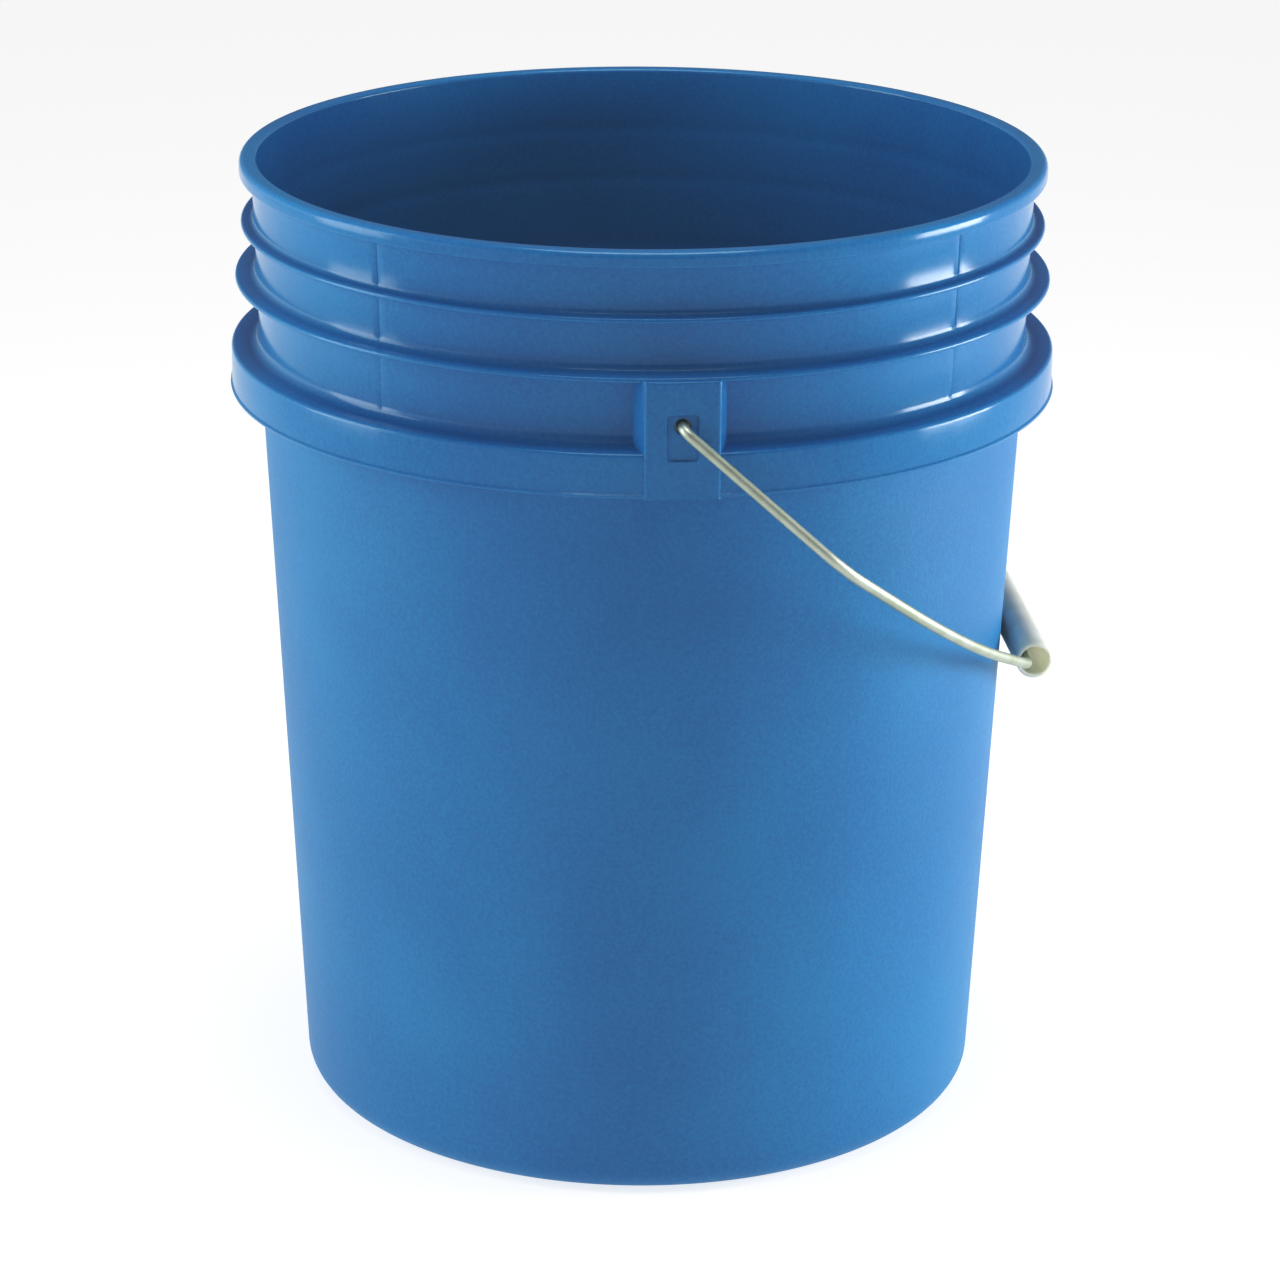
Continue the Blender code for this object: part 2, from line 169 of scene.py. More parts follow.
# %% [markdown]
# ## The base and the inside
#
# The bucket stands on a flat ring, and the middle of the base is raised so that it does not rock.
# Inside, thick plastic shrinks as it cools: where a rib or the skirt joins the wall, the inside is
# drawn in by a hair and shows as a faint ring. Those sinks are cut into the line itself, as shallow
# dips, because a painted ring would not catch the light.

# %% Inside of the pail
WALL = 0.0020
BASE_CORNER = 0.0100
FOOT_RING_WIDTH = 0.0100
PANEL_RAISE = 0.0020
PANEL_SLOPE = 0.0030
PANEL_ROUND = 0.0020
FLOOR_THICKNESS = 0.0026
FLOOR_ROUND = 0.0030
FLOOR_RINGS = (0.03, 0.06, 0.09)
INSIDE_LEVELS = (0.06, 0.12, 0.18, 0.24)
FLANGE_THICKNESS = 0.0020
SINK_DEPTH = 0.00014
SINK_WIDTH = 0.0046
SINK_STEPS = 10


def base_corner(inset, steps):
    """The rounding between base and wall, from the bottom outwards, moved in by the inset."""
    lean = math.atan(taper)
    centre = BASE_RADIUS + taper * BASE_CORNER - BASE_CORNER / math.cos(lean)
    return arc((centre, BASE_CORNER), BASE_CORNER - inset, -90, -math.degrees(lean), steps)


def sink(level):
    """Going up the inside past a level where thick plastic has shrunk."""
    points = []
    for index in range(SINK_STEPS + 1):
        share = index / SINK_STEPS
        dip = SINK_DEPTH * math.sin(math.pi * share) ** 2
        here = level + (share - 0.5) * 2 * SINK_WIDTH
        points.append((wall_radius(here) - WALL + dip, here))
    return points


def foot_ring_inside():
    """Where the flat foot ring ends and the slope up to the raised middle starts."""
    return base_corner(0.0, 8)[0][0] - FOOT_RING_WIDTH


def inside_line():
    """From the middle of the floor out to the wall, and up the wall past the three sinks."""
    ring_inner = foot_ring_inside()
    floor = PANEL_RAISE + FLOOR_THICKNESS
    points = [(0.0, floor)] + [(radius, floor) for radius in FLOOR_RINGS]
    points += arc((ring_inner - PANEL_SLOPE - 0.002, floor - FLOOR_ROUND), FLOOR_ROUND, 90, 50, 3)
    points += arc((ring_inner + 0.001, FLOOR_THICKNESS + PANEL_ROUND), PANEL_ROUND, 230, 270, 3)
    points += base_corner(FLOOR_THICKNESS, 8)
    points += [(wall_radius(level) - WALL, level) for level in INSIDE_LEVELS]
    for level in (skirt_top, lower_rib_top, upper_rib_top):
        points += sink(level - FLANGE_THICKNESS / 2)
    return points


print("inside line:", len(inside_line()), "points")

# %% [markdown]
# ## Rim, ribs and skirt
#
# The rim is a solid bead that a lid snaps over. Below it come two thin ribs and a wider flange that
# turns down into a skirt with a fine lip at its foot. Each meets the neck in a hollow curve, larger
# lower down, and it is those curves that show as dark bands over a bright thin edge. They are drawn
# as real arcs.

# %% Rim, ribs and skirt
RIM_TOP_ROUND = 0.0022
RIM_FOOT_ROUND = 0.0008
RIM_LIP_ROUND = 0.0014
UPPER_RIB = (0.0048, 0.0020)  # how far it stands out, and the radius of the hollow above it
LOWER_RIB = (0.0079, 0.0030)
UNDER_FILLET = 0.0006
SKIRT_FILLET = 0.0040
SKIRT_WALL = 0.0020
SKIRT_EDGE_ROUND = 0.0015
SKIRT_FOOT_ROUND = 0.0006
SKIRT_LIP = 0.0006
LIP_HEIGHT = 0.0010
BODY_LEVELS = (0.26, 0.20, 0.14, 0.08, 0.04)
PANEL_RINGS = (0.08, 0.05, 0.0)
RING_EDGE = (0.0004, 0.0002)  # the foot ring's inner edge is broken by this much, across and up


def rim_line():
    """From the mouth's inner edge over the bead to the neck under it."""
    mouth = NECK_RADIUS - WALL
    rim = NECK_RADIUS + RIM_OUT
    top_centre = (rim - RIM_TOP_ROUND, height - RIM_TOP_ROUND)
    foot_centre = (rim - RIM_FOOT_ROUND, rim_foot + RIM_FOOT_ROUND)
    points = arc((mouth + RIM_LIP_ROUND, height - RIM_LIP_ROUND), RIM_LIP_ROUND, 180, 90, 5)
    points += arc(top_centre, RIM_TOP_ROUND, 90, 0, 8)
    points += arc(foot_centre, RIM_FOOT_ROUND, 0, -90, 4)
    points += arc((NECK_RADIUS + UNDER_FILLET, rim_foot - UNDER_FILLET), UNDER_FILLET, 90, 180, 3)
    return points


def rib_line(top, out, fillet):
    """Down over a thin rib, which stands out this far: hollow curve, top, rounded edge, underside."""
    wall = wall_radius(top)
    edge = FLANGE_THICKNESS / 2
    under = top - FLANGE_THICKNESS
    points = arc((wall + fillet, top + fillet), fillet, 180, 270, 6)
    points += arc((wall + out - edge, top - edge), edge, 90, -90, 8)
    points += arc((wall + UNDER_FILLET, under - UNDER_FILLET), UNDER_FILLET, 90, 180, 3)
    return points


def skirt_line():
    """Down over the skirt, out to the lip at its foot, and up inside it to the wall."""
    fillet = SKIRT_FILLET
    edge = SKIRT_EDGE_ROUND
    foot = SKIRT_FOOT_ROUND
    foot_radius = skirt_radius + SKIRT_LIP
    foot_inside = foot_radius - SKIRT_WALL
    inside = skirt_radius - SKIRT_WALL
    roof = skirt_top - FLANGE_THICKNESS
    points = arc((wall_radius(skirt_top) + fillet, skirt_top + fillet), fillet, 180, 270, 7)
    points += arc((skirt_radius - edge, skirt_top - edge), edge, 90, 0, 5)
    points.append((skirt_radius, skirt_foot + LIP_HEIGHT + SKIRT_LIP))
    points.append((foot_radius, skirt_foot + LIP_HEIGHT))
    points += arc((foot_radius - foot, skirt_foot + foot), foot, 0, -90, 3)
    points += arc((foot_inside + foot, skirt_foot + foot), foot, -90, -180, 3)
    points += arc((inside - foot, roof - foot), foot, 0, 90, 2)
    points += arc((wall_radius(roof) + foot, roof - foot), foot, 90, 180, 2)
    return points


def pail_line():
    """The whole outline: inside, rim, ribs, skirt, body, foot ring and the raised middle."""
    ring_inner = foot_ring_inside()
    points = inside_line() + rim_line()
    points += rib_line(upper_rib_top, *UPPER_RIB)
    points += rib_line(lower_rib_top, *LOWER_RIB)
    points += skirt_line()
    points += [(wall_radius(level), level) for level in BODY_LEVELS]
    points += reversed(base_corner(0.0, 10))
    points += [(ring_inner + RING_EDGE[0], 0.0), (ring_inner, RING_EDGE[1])]
    panel_centre = (ring_inner - PANEL_SLOPE - 0.001, PANEL_RAISE - PANEL_ROUND)
    points += arc(panel_centre, PANEL_ROUND, 50, 90, 3)
    points += [(radius, PANEL_RAISE) for radius in PANEL_RINGS]
    return points


print("whole line:", len(pail_line()), "points")

# %% [markdown]
# ## Turning the line
#
# The mould's outer side opens in four quarters, because the ribs would lock a one-piece mould. Where
# two quarters meet, each neck carries a thin upright line. A bump map could draw it, but a real
# groove also catches the light at its edges. The shell is turned in even steps, with a few extra
# columns at each seam that are sunk by a hair.

# %% Turn the line into a shell
TURN_STEPS = 240
SEAM_DEPTH = 0.00022
SEAM_HALF_WIDTH = 0.00040
SEAM_ANGLES = (45.0, 135.0, 225.0, 315.0)
ON_WALL = 0.0001


def column_angles():
    """Angles of the columns, with how much of the seam's depth each one carries."""
    half = math.degrees(SEAM_HALF_WIDTH / NECK_RADIUS)
    columns = {round(360.0 * step / TURN_STEPS, 6): 0.0 for step in range(TURN_STEPS)}
    for seam in SEAM_ANGLES:
        for share in (-1.0, -0.5, 0.0, 0.5, 1.0):
            columns[round(seam + share * half, 6)] = 1.0 - abs(share)
    return sorted(columns.items())


def turned_shell(line):
    shell = bmesh.new()
    rings = []
    for radius, level in line:
        if radius == 0.0:
            rings.append([shell.verts.new((0.0, 0.0, level))])
            continue
        on_neck = level > skirt_top and abs(radius - wall_radius(level)) < ON_WALL
        seam = SEAM_DEPTH if on_neck else 0.0
        ring = []
        for degrees, share in column_angles():
            turn = math.radians(degrees)
            out = radius - seam * share
            ring.append(shell.verts.new((out * math.cos(turn), out * math.sin(turn), level)))
        rings.append(ring)
    for upper, lower in zip(rings, rings[1:]):
        count = max(len(upper), len(lower))
        for index in range(count):
            following = (index + 1) % count
            corners = [upper[index % len(upper)], upper[following % len(upper)]]
            corners += [lower[following % len(lower)], lower[index % len(lower)]]
            shell.faces.new(dict.fromkeys(corners))
    bmesh.ops.recalc_face_normals(shell, faces=shell.faces)
    return shell


def finished(shape, name):
    """Turns a bmesh into an object in the scene."""
    mesh = bpy.data.meshes.new(name)
    shape.to_mesh(mesh)
    shape.free()
    made = bpy.data.objects.new(name, mesh)
    bpy.context.scene.collection.objects.link(made)
    return made


def smooth(piece, sharpest):
    """Shades a piece smooth, but keeps edges that turn by more than this many degrees."""
    piece.data.shade_smooth()
    piece.data.set_sharp_from_angle(angle=math.radians(sharpest))


pail = finished(turned_shell(pail_line()), "pail_shell")
print("turned shell:", len(pail.data.polygons), "faces")

# %% [markdown]
# ## The ears
#
# An ear is a small box that closes the gap between the lower rib and the skirt, hollow behind so
# that the wire's end has room. Its face is an arc concentric with the skirt, and its sides spread
# towards the wall, because the mould pulls straight out. Building it as a solid block and joining it
# with a Boolean keeps the face truly concentric, which a stretched cube would not be.

# %% Ear blocks and what is cut from them
EAR_WIDTH = 0.0270
EAR_DRAFT = 17
EAR_CORNER = 0.0012
EAR_TOP_ROUND = 0.0008
EAR_WALL = 0.0030
EAR_LAP = 0.0005
EAR_RISE = 0.0014
POCKET_CORNER = 0.0012
POCKET_BACK = 0.0007
POCKET_ROOF = 0.0030

rib_under = lower_rib_top - FLANGE_THICKNESS


def ear_outline(radius, half_width, corner, back, side):
    """Plan of an ear: face and back on circles round the pail, rounded corners, spreading sides."""
    inner = half_width - corner
    corner_depth = math.sqrt((radius - corner) ** 2 - inner ** 2)
    turn = math.degrees(math.asin(inner / (radius - corner)))
    left = arc((-inner, corner_depth), corner, 180 - EAR_DRAFT, 90 + turn, 6)
    face = arc((0.0, 0.0), radius, 90 + turn, 90 - turn, 24)[1:-1]
    right = arc((inner, corner_depth), corner, 90 - turn, EAR_DRAFT, 6)
    end, depth = right[-1]
    root = end + (depth - back) * math.tan(math.radians(EAR_DRAFT))
    reach = math.degrees(math.asin(root / back))
    rear = arc((0.0, 0.0), back, 90 - reach, 90 + reach, 12)
    return [(x, side * y) for x, y in left + face + right + rear]


def loft(shape, sections):
    """Joins closed sections of equal length, one to the next, and closes both ends."""
    rings = [[shape.verts.new(point) for point in section] for section in sections]
    shape.faces.new(rings[0])
    shape.faces.new(rings[-1])
    for first, second in zip(rings, rings[1:]):
        count = len(first)
        for index in range(count):
            following = (index + 1) % count
            shape.faces.new((first[index], first[following], second[following], second[index]))
    bmesh.ops.recalc_face_normals(shape, faces=shape.faces)


def ear_blocks():
    """Solid ears, with the edge round their top rounded over."""
    shape = bmesh.new()
    back = (wall_radius(skirt_foot) + wall_radius(rib_under) - WALL) / 2
    top = rib_under + EAR_RISE
    stations = [(0.0, skirt_foot - EAR_LAP)]
    stations += arc((EAR_TOP_ROUND, top - EAR_TOP_ROUND), EAR_TOP_ROUND, 180, 90, 4)
    for side in (-1, 1):
        sections = []
        for inset, level in stations:
            outline = ear_outline(ear_radius - inset, EAR_WIDTH / 2, EAR_CORNER, back, side)
            sections.append([(x, y, level) for x, y in outline])
        loft(shape, sections)
    return finished(shape, "ear_blocks")


def ear_pockets():
    shape = bmesh.new()
    roof = rib_under - POCKET_ROOF
    back = wall_radius(roof) + POCKET_BACK
    half_width = EAR_WIDTH / 2 - EAR_WALL
    for side in (-1, 1):
        outline = ear_outline(ear_radius - EAR_WALL, half_width, POCKET_CORNER, back, side)
        span = (skirt_foot - 2 * EAR_LAP, roof)
        loft(shape, [[(x, y, level) for x, y in outline] for level in span])
    return finished(shape, "ear_pockets")


# %% [markdown]
# The shallow inset round the hole has sloping sides, and the hole's edge is broken, as a mould pin
# leaves it. Both cutters are lofts, like the ears: a list of sections joined one to the next.

# %% Inset and hole cutters
INSET_WIDTH = 0.0113
INSET_ABOVE = 0.0044
INSET_BELOW = 0.0125
INSET_DEPTH = 0.0010
INSET_DRAFT = 0.0005
INSET_CORNER = 0.0013
HOLE_RADIUS = 0.00275
HOLE_EDGE = 0.0004


def rounded_rectangle(half_width, low, high, corner, y):
    points = arc((half_width - corner, high - corner), corner, 0, 90, 4)
    points += arc((corner - half_width, high - corner), corner, 90, 180, 4)
    points += arc((corner - half_width, low + corner), corner, 180, 270, 4)
    points += arc((half_width - corner, low + corner), corner, 270, 360, 4)
    return [(x, y, z) for x, z in points]


def ear_insets():
    """One cutter for each ear: narrow at the inset's floor, wider at the face and beyond it."""
    shape = bmesh.new()
    half = INSET_WIDTH / 2
    low, high = pivot.z - INSET_BELOW, pivot.z + INSET_ABOVE
    for side in (-1, 1):
        sections = []
        for share in (-1, 0, 1):
            grow = share * INSET_DRAFT
            y = side * (ear_radius + share * INSET_DEPTH)
            sections.append(
                rounded_rectangle(half + grow, low - grow, high + grow, INSET_CORNER + grow, y))
        loft(shape, sections)
    return finished(shape, "ear_insets")


def ear_holes():
    shape = bmesh.new()
    floor = ear_radius - INSET_DEPTH
    stations = [
        (HOLE_RADIUS, floor - EAR_WALL),
        (HOLE_RADIUS, floor - HOLE_EDGE),
        (HOLE_RADIUS + HOLE_EDGE, floor),
        (HOLE_RADIUS + HOLE_EDGE, floor + HOLE_EDGE),
    ]
    for side in (-1, 1):
        sections = []
        for radius, y in stations:
            ring = arc((0.0, pivot.z), radius, 0, 360, 48)[:-1]
            sections.append([(x, side * y, z) for x, z in ring])
        loft(shape, sections)
    return finished(shape, "ear_holes")


# %% [markdown]
# Under the skirt, thin upright webs tie it to the wall, so that the bucket can be lifted by it. An
# Array modifier turned by an empty could place them, but they stop at the ears, and a plain loop can
# leave those places out.

# %% Webs under the skirt
WEB_COUNT = 24
WEB_THICKNESS = 0.0016
WEB_RISE = 0.0025


def skirt_webs():
    shape = bmesh.new()
    step = 360 / WEB_COUNT
    inner = wall_radius(skirt_foot) - WALL / 2
    outer = skirt_radius - SKIRT_WALL / 2
    half = WEB_THICKNESS / 2
    for index in range(WEB_COUNT):
        angle = (index + 0.5) * step
        if abs((angle % 180) - 90) < step:
            continue
        turn = Matrix.Rotation(math.radians(angle), 3, "Z")
        plan = [(inner, -half), (outer, -half), (outer, half), (inner, half)]
        corners = [turn @ Vector((x, y, 0.0)) for x, y in plan]
        span = (skirt_foot + WEB_RISE, skirt_top - FLANGE_THICKNESS / 2)
        loft(shape, [[(corner.x, corner.y, level) for corner in corners] for level in span])
    return finished(shape, "skirt_webs")


# %% [markdown]
# Each cutter is used once and thrown away, so the Boolean's result is read back as a plain mesh. That
# leaves nothing hidden in the file, and the order is easy to read: add webs and ears, then hollow the
# ears and drill them.

# %% Join and cut
def combine(target, operation, tool):
    """Applies one Boolean at once and removes the tool, so that only the result is left."""
    modifier = target.modifiers.new(tool.name, "BOOLEAN")
    modifier.operation = operation
    modifier.object = tool
    graph = bpy.context.evaluated_depsgraph_get()
    mesh = bpy.data.meshes.new_from_object(target.evaluated_get(graph))
    target.modifiers.clear()
    target.data = mesh
    bpy.data.objects.remove(tool, do_unlink=True)


combine(pail, "UNION", skirt_webs())
combine(pail, "UNION", ear_blocks())
combine(pail, "DIFFERENCE", ear_pockets())
combine(pail, "DIFFERENCE", ear_insets())
combine(pail, "DIFFERENCE", ear_holes())
smooth(pail, sharpest=32)
print("pail with ears:", len(pail.data.polygons), "faces")

# %% [markdown]
# ## The bail wire
#
# The bail is a single length of 4 mm steel wire. It runs straight down each side, turns in at a
# shoulder, sweeps round to the grip and runs straight through it. As it hangs it holds the grip
# against the wall, so it lies on the side of the bore nearest the bucket and not in the middle. A
# bent wire keeps its thickness, so a round section carried along a line is exactly right. The line
# has a handful of corners, each with the bend radius that the bending tool gave it.

# %% Wire line
WIRE_RADIUS = 0.0020
LEG_GAP = 0.0023
EAR_BEND = 0.0042
LEG_LENGTH = 0.0760
LEG_SPREAD = 0.0060
LEG_BEND = 0.0300
SWEEP_BACK = 0.0490
SWEEP_IN = 0.0394
SWEEP_BEND = 0.2500
GRIP_BEND = 0.0100
MOUTH_TO_BEND = 0.0038
GRIP_SEAT = 0.0033
HEAD_THICKNESS = 0.0018
HEAD_GAP = 0.0008
HEAD_RADIUS = HOLE_RADIUS + 0.0006

wall_lean = math.atan(taper)
wire_in_grip = grip_centre - GRIP_SEAT * Vector((math.cos(wall_lean), 0.0, -math.sin(wall_lean)))
wire_reach = (wire_in_grip - pivot).length
hang_angle = math.atan2(pivot.z - wire_in_grip.z, wire_in_grip.x - pivot.x)
grip_length = grip_high.y - grip_low.y
leg_start = ear_radius + LEG_GAP + WIRE_RADIUS
wire_end = ear_radius - EAR_WALL - HEAD_GAP - HEAD_THICKNESS


BEND_STEP = math.radians(4)
FEWEST_BEND_STEPS = 6


def rounded_line(corners):
    """A line through (point, bend radius) corners, with an arc at each inner corner."""
    points = [corners[0][0]]
    for before, (corner, radius), after in zip(corners, corners[1:], corners[2:]):
        before, after = before[0], after[0]
        into = math.atan2(corner[1] - before[1], corner[0] - before[0])
        out = math.atan2(after[1] - corner[1], after[0] - corner[0])
        turn = (out - into + math.pi) % (2 * math.pi) - math.pi
        side = math.copysign(1.0, turn)
        reach = radius * math.tan(abs(turn) / 2)
        start = (corner[0] - reach * math.cos(into), corner[1] - reach * math.sin(into))
        centre = (start[0] - side * radius * math.sin(into), start[1] + side * radius * math.cos(into))
        first = math.degrees(into) - side * 90
        steps = max(FEWEST_BEND_STEPS, round(abs(turn) / BEND_STEP))
        points += arc(centre, radius, first, first + math.degrees(turn), steps)
    points.append(corners[-1][0])
    return points


def wire_line():
    half = [
        ((0.0, wire_end), 0.0),
        ((0.0, leg_start), EAR_BEND),
        ((LEG_LENGTH, leg_start + LEG_SPREAD), LEG_BEND),
        ((wire_reach - SWEEP_BACK, leg_start - SWEEP_IN), SWEEP_BEND),
        ((wire_reach, grip_length / 2 + MOUTH_TO_BEND), GRIP_BEND),
    ]
    other = [((x, -y), radius) for (x, y), radius in reversed(half)]
    return rounded_line(half + other)


print("wire line:", len(wire_line()), "points")
print("the bail hangs", round(math.degrees(hang_angle), 2), "degrees below level")

# %% [markdown]
# The wire's mesh is made from rings rather than with a curve's bevel, so that its ends can
# be upset: squeezed into flat heads that are wider than the holes and keep the wire in the ears.

# %% Wire mesh
WIRE_SIDES = 24
HEAD_ROUND = 0.0004
HEAD_NECK = 0.0002
HEAD_MIDDLE = 0.0005


def ring_at(point, along, radius):
    """A ring of the wire: the wire lies flat, so one side of every ring points up."""
    across = Vector((-along.y, along.x, 0.0)).normalized()
    up = Vector((0.0, 0.0, 1.0))
    ring = []
    for index in range(WIRE_SIDES):
        turn = 2 * math.pi * index / WIRE_SIDES
        ring.append(point + (across * math.cos(turn) + up * math.sin(turn)) * radius)
    return ring


def head_stations():
    """How the end of the wire swells into its head: (distance from the end, radius)."""
    flat = HEAD_RADIUS - HEAD_ROUND
    stations = [(0.0, HEAD_MIDDLE), (0.0, flat)]
    stations += [(HEAD_ROUND, HEAD_RADIUS), (HEAD_THICKNESS - HEAD_ROUND, HEAD_RADIUS)]
    stations += [(HEAD_THICKNESS, flat), (HEAD_THICKNESS, WIRE_RADIUS + HEAD_NECK)]
    return stations + [(HEAD_THICKNESS + HEAD_NECK, WIRE_RADIUS)]


def make_wire():
    line = [Vector((x, y, 0.0)) for x, y in wire_line()]
    inward = (line[1] - line[0]).normalized()
    rings = [ring_at(line[0] + inward * along, inward, radius) for along, radius in head_stations()]
    for before, here, after in zip(line, line[1:], line[2:]):
        rings.append(ring_at(here, (after - before).normalized(), WIRE_RADIUS))
    outward = (line[-2] - line[-1]).normalized()
    for along, radius in reversed(head_stations()):
        rings.append(ring_at(line[-1] + outward * along, -outward, radius))
    shape = bmesh.new()
    loft(shape, rings)
    wire = finished(shape, "bail_wire_bent")
    smooth(wire, sharpest=40)
    wire.data.transform(Matrix.Translation(pivot) @ Matrix.Rotation(hang_angle, 4, "Y"))
    return wire


wire = make_wire()
print("wire:", len(wire.data.polygons), "faces")

# %% [markdown]
# ## The grip
#
# The grip is a short length of thin plastic tube, slid on before the wire's ends are formed. Its ends
# are saw cuts with the edges just broken, and its bore is much wider than the wire, so it hangs to
# one side. It is turned like the pail, from its own short outline.

# %% Grip mesh
GRIP_WALL = 0.0014
GRIP_EDGE = 0.0005
GRIP_SIDES = 96

grip_radius = (grip_high.x - grip_low.x) / 2


def grip_outline():
    half = grip_length / 2
    bore = grip_radius - GRIP_WALL
    inner, outer = bore + GRIP_EDGE, grip_radius - GRIP_EDGE
    points = [(bore, 0.0)]
    points += arc((inner, half - GRIP_EDGE), GRIP_EDGE, 180, 90, 4)
    points += arc((outer, half - GRIP_EDGE), GRIP_EDGE, 90, 0, 4)
    points += [(grip_radius, 0.0)]
    points += arc((outer, GRIP_EDGE - half), GRIP_EDGE, 0, -90, 4)
    points += arc((inner, GRIP_EDGE - half), GRIP_EDGE, -90, -180, 4)
    return points


def make_grip():
    shape = bmesh.new()
    rings = []
    for radius, along in grip_outline():
        ring = arc((grip_centre.x, grip_centre.z), radius, 0, 360, GRIP_SIDES)[:-1]
        rings.append([shape.verts.new((x, along, z)) for x, z in ring])
    for first, second in zip(rings, rings[1:] + rings[:1]):
        for index in range(GRIP_SIDES):
            following = (index + 1) % GRIP_SIDES
            shape.faces.new((first[index], first[following], second[following], second[index]))
    bmesh.ops.recalc_face_normals(shape, faces=shape.faces)
    grip = finished(shape, "grip_tube")
    smooth(grip, sharpest=50)
    return grip


grip = make_grip()
print("grip across", round(2 * grip_radius, 4), "long", round(grip_length, 4))

# %% [markdown]
# ## Writing materials as sums
#
# A finish that changes over a surface is arithmetic: this much grain, times that mask, plus a base
# value. Wiring Math nodes by hand hides the sum, so one small class wraps a node's output and lets
# Python's own signs add the nodes. Anything that is not a sum goes through its node method.

# %% A socket that can be added up
class Signal:
    """A node's output, used like a number."""

    def __init__(self, tree, output=None):
        self.tree = tree
        self.output = output

    def node(self, kind, settings=None, sockets=None, output=0):
        """Adds a node: its settings first, then the values or links of its sockets."""
        made = self.tree.nodes.new(kind)
        for name, value in (settings or {}).items():
            if name == "stops":
                set_stops(made.color_ramp, value)
            else:
                setattr(made, name, value)
        for name, value in (sockets or {}).items():
            if isinstance(value, Signal):
                self.tree.links.new(value.output, made.inputs[name])
            else:
                made.inputs[name].default_value = value
        return Signal(self.tree, made.outputs[output])

    def maths(self, operation, first, second):
        return self.node("ShaderNodeMath", {"operation": operation}, {0: first, 1: second})

    def at_least(self, lowest):
        return self.maths("MAXIMUM", self, lowest)

    def __add__(self, other):
        return self.maths("ADD", self, other)

    __radd__ = __add__

    def __sub__(self, other):
        return self.maths("SUBTRACT", self, other)

    def __rsub__(self, other):
        return self.maths("SUBTRACT", other, self)

    def __mul__(self, other):
        return self.maths("MULTIPLY", self, other)

    __rmul__ = __mul__

    def mix_colours(self, low, high):
        """A colour that goes from low to high as this signal goes from 0 to 1."""
        sockets = {"Factor": self, "A": low, "B": high}
        return self.node("ShaderNodeMix", {"data_type": "RGBA"}, sockets, output="Result")

    def step(self, low, high):
        """0 below low, 1 above high, and a smooth change between."""
        settings = {"interpolation_type": "SMOOTHSTEP"}
        sockets = {"Value": self, "From Min": low, "From Max": high}
        return self.node("ShaderNodeMapRange", settings, sockets)


def set_stops(ramp, stops):
    while len(ramp.elements) > 1:
        ramp.elements.remove(ramp.elements[-1])
    for index, (place, colour) in enumerate(stops):
        element = ramp.elements[0] if index == 0 else ramp.elements.new(place)
        element.position = place
        element.color = colour


def colour(red, green, blue):
    return (red, green, blue, 1.0)


# %% [markdown]
# Every finish starts the same way: a new material, its shader, and the point on the piece in metres.
# These helpers give the point, a noise of a stated grain size, and the same noise drawn out along
# one axis for marks that run with the mould or the wire.

# %% Helpers that every finish uses
def new_finish(name):
    material = bpy.data.materials.new(name)
    material.use_nodes = True
    shader = material.node_tree.nodes["Principled BSDF"]
    return material, shader, Signal(material.node_tree)


def place_on(start):
    return start.node("ShaderNodeTexCoord", output="Object")


def noise(place, size, detail=3.0, roughness=0.5, stretch=(1.0, 1.0, 1.0)):
    """Soft noise whose blots are about the given size in metres, longer where stretch is larger."""
    scale = tuple(1.0 / (size * share) for share in stretch)
    mapped = place.node("ShaderNodeMapping", None, {"Vector": place, "Scale": scale})
    sockets = {"Vector": mapped, "Scale": 1.0, "Detail": detail, "Roughness": roughness}
    return place.node("ShaderNodeTexNoise", None, sockets, output="Fac")


def levels(place):
    """The height part of a place."""
    return place.node("ShaderNodeSeparateXYZ", None, {"Vector": place}, output="Z")


def finish_with(shader, start, links):
    for name, signal in links.items():
        start.tree.links.new(signal.output, shader.inputs[name])


def bump(heights):
    """Raises the surface by the heights, which are in metres."""
    sockets = {"Height": heights, "Distance": 1.0, "Strength": 1.0}
    return heights.node("ShaderNodeBump", None, sockets, output="Normal")


# %% [markdown]
# ## Blue polyethylene
#
# The pigment is mixed into the plastic, so the colour is even with only the faintest cloudiness. What
# changes is the surface: the neck and skirt come off polished steel and shine, and the body comes
# off blasted steel and has a fine grain that spreads the light. The two meet under the skirt.

# %% Blue plastic
def blue_plastic():
    material, shader, start = new_finish("blue polyethylene")
    place = place_on(start)
    level = levels(place)
    polished = level.step(skirt_foot - 0.001, skirt_foot + 0.001)

    cloud = noise(place, 0.09, detail=2.0)
    fleck = noise(place, 0.0016, detail=2.0, roughness=0.7)
    blend = cloud * 0.5 + fleck * 0.5
    deep = colour(0.017, 0.158, 0.385)
    light = colour(0.020, 0.215, 0.465)
    base = blend.step(0.30, 0.70).mix_colours(deep, light)

    grain = noise(place, 0.0009, detail=3.0, roughness=0.6)
    scuff = noise(place, 0.012, detail=6.0, roughness=0.7)
    body_roughness = 0.40 + grain * 0.10 + scuff * 0.06
    neck_roughness = 0.10 + scuff * 0.10
    roughness = polished * neck_roughness + (1 - polished) * body_roughness

    waves = noise(place, 0.03, detail=1.0)
    heights = grain * (1 - polished) * 0.00010 + waves * 0.00020
    finish_with(shader, start, {
        "Base Color": base,
        "Roughness": roughness,
        "Normal": bump(heights),
    })
    shader.inputs["IOR"].default_value = 1.40
    return material


pail.data.materials.clear()
pail.data.materials.append(blue_plastic())
print("pail finish:", len(pail.data.materials[0].node_tree.nodes), "nodes")
